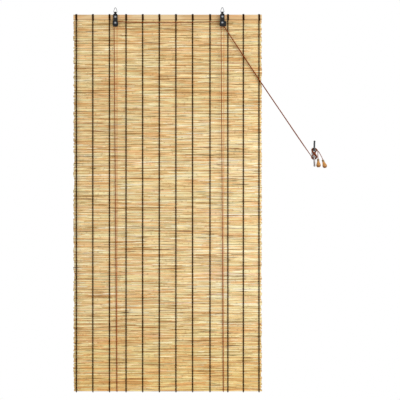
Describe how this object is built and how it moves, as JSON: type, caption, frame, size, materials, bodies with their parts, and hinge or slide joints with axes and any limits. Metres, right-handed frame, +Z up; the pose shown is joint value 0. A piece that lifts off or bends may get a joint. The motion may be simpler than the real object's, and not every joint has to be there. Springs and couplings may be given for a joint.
{
  "type": "reed roll up blind",
  "caption": "Reed roll up blind: a woven reed mat on a head batten, hung from pulley hangers, with lift cords that pass a cord lock to a wall cleat and end in wooden pulls.",
  "frame": {"origin": "underside of the left hanging ring's crown, where it bears on its hook", "axes": "+X to the right as seen from the front, +Y towards the wall behind the blind, +Z up"},
  "size_m": [0.8065, 0.033, 1.2255],
  "materials": {
    "reed": "dry matte reed",
    "batten_wood": "smooth satin",
    "weave_twine": "twisted twine",
    "black_steel": "black gloss paint",
    "bright_steel": "bright plated",
    "grey_steel": "plain zinc",
    "lift_cord": "braided cord",
    "pull_wood": "varnished",
    "cleat_metal": "polished grey metal"
  },
  "bodies": {
    "blind": {"reed_mat": "reed", "head_batten": "batten_wood", "weave_cord_1": "weave_twine", "weave_cord_2": "weave_twine", "weave_cord_3": "weave_twine", "weave_cord_4": "weave_twine", "weave_cord_5": "weave_twine", "weave_cord_6": "weave_twine", "weave_cord_7": "weave_twine", "weave_cord_8": "weave_twine", "weave_cord_9": "weave_twine", "weave_cord_10": "weave_twine", "weave_cord_11": "weave_twine", "weave_cord_12": "weave_twine", "left_strap": "black_steel", "left_axle": "bright_steel", "left_screw": "bright_steel", "left_spacer": "grey_steel", "left_staple": "grey_steel", "right_strap": "black_steel", "right_axle": "bright_steel", "right_screw": "bright_steel", "right_spacer": "grey_steel", "right_staple": "grey_steel", "lock_pin": "black_steel", "left_lift_cord": "lift_cord", "right_lift_cord": "lift_cord", "left_pull_cord": "lift_cord", "right_pull_cord": "lift_cord", "left_pull": "pull_wood", "right_pull": "pull_wood", "cleat": "cleat_metal"},
    "left_ring": {"left_ring": "bright_steel"},
    "right_ring": {"right_ring": "bright_steel"},
    "left_sheave": {"left_sheave": "grey_steel"},
    "right_rear_sheave": {"right_rear_sheave": "grey_steel"},
    "right_front_sheave": {"right_front_sheave": "grey_steel"},
    "lock_cam": {"lock_cam": "grey_steel"}
  },
  "joints": [
    {"name": "left_sheave_spin", "type": "hinge", "parent": "blind", "child": "left_sheave", "pos_m": [0, 0, -0.0471], "axis": [0, 1, 0], "continuous": true},
    {"name": "right_rear_sheave_spin", "type": "hinge", "parent": "blind", "child": "right_rear_sheave", "pos_m": [0.34, 0, -0.0471], "axis": [0, 1, 0], "continuous": true},
    {"name": "right_front_sheave_spin", "type": "hinge", "parent": "blind", "child": "right_front_sheave", "pos_m": [0.34, -0.0054, -0.0471], "axis": [0, 1, 0], "continuous": true},
    {"name": "lock_cam_swing", "type": "hinge", "parent": "blind", "child": "lock_cam", "pos_m": [0.3494, -0.0027, -0.0548], "axis": [0, -1, 0], "range_deg": [0, 60]},
    {"name": "left_ring_swing", "type": "hinge", "parent": "blind", "child": "left_ring", "pos_m": [0, 0, -0.0139], "axis": [1, 0, 0], "range_deg": [-80, 80]},
    {"name": "right_ring_swing", "type": "hinge", "parent": "blind", "child": "right_ring", "pos_m": [0.34, -0.0027, -0.0139], "axis": [1, 0, 0], "range_deg": [-80, 80]}
  ],
  "couplings": [
    {"joint": "right_rear_sheave_spin", "follows": "left_sheave_spin", "ratio": 1}
  ]
}
